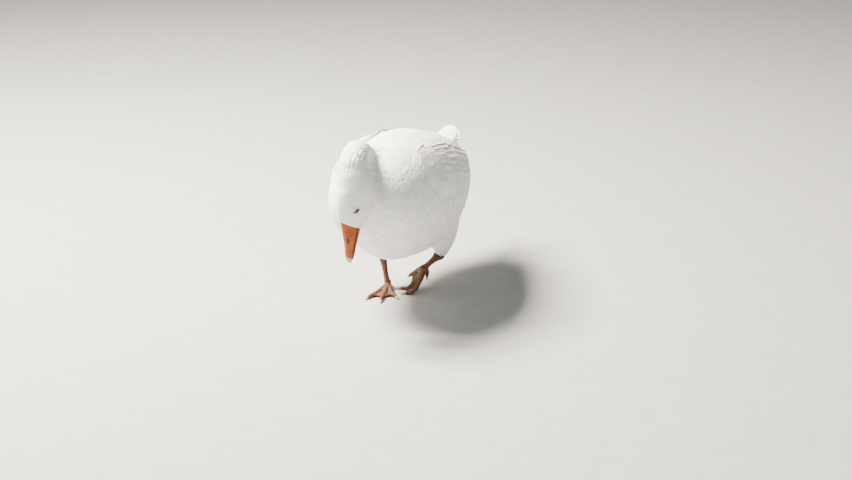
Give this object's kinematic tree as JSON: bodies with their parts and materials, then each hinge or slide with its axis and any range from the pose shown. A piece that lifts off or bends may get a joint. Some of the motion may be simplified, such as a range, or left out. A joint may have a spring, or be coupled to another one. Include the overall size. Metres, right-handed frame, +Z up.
{
  "type": "domestic goose",
  "caption": "White domestic goose standing mid-step with its long neck arched over and its orange bill hanging down to graze.",
  "frame": {"origin": "on the floor under the middle of the goose's bounding box", "axes": "+Z up; the goose faces -Y and its left side is +X"},
  "size_m": [0.2736, 0.7004, 0.4105],
  "materials": {
    "feather": "soft white plumage",
    "flight_feather": "smooth white flight feathers",
    "bill": "smooth orange horn skin",
    "nail": "satin pale horn",
    "eye": "wet gloss",
    "leg_skin": "scaled orange-pink skin",
    "claw": "satin horn"
  },
  "bodies": {
    "root": {"trunk": "feather", "neck": "feather", "head": "feather", "wing_left": "feather", "wing_right": "feather", "thigh_left": "feather", "thigh_right": "feather", "tail": "flight_feather", "bill_upper": "bill", "bill_lower": "bill", "bill_nail": "nail", "eye_left": "eye", "eye_right": "eye", "shank_left": "leg_skin", "shank_right": "leg_skin", "foot_left": "leg_skin", "foot_right": "leg_skin", "claw_left_inner": "claw", "claw_left_middle": "claw", "claw_left_outer": "claw", "claw_left_hind": "claw", "claw_right_inner": "claw", "claw_right_middle": "claw", "claw_right_outer": "claw", "claw_right_hind": "claw"}
  },
  "joints": []
}
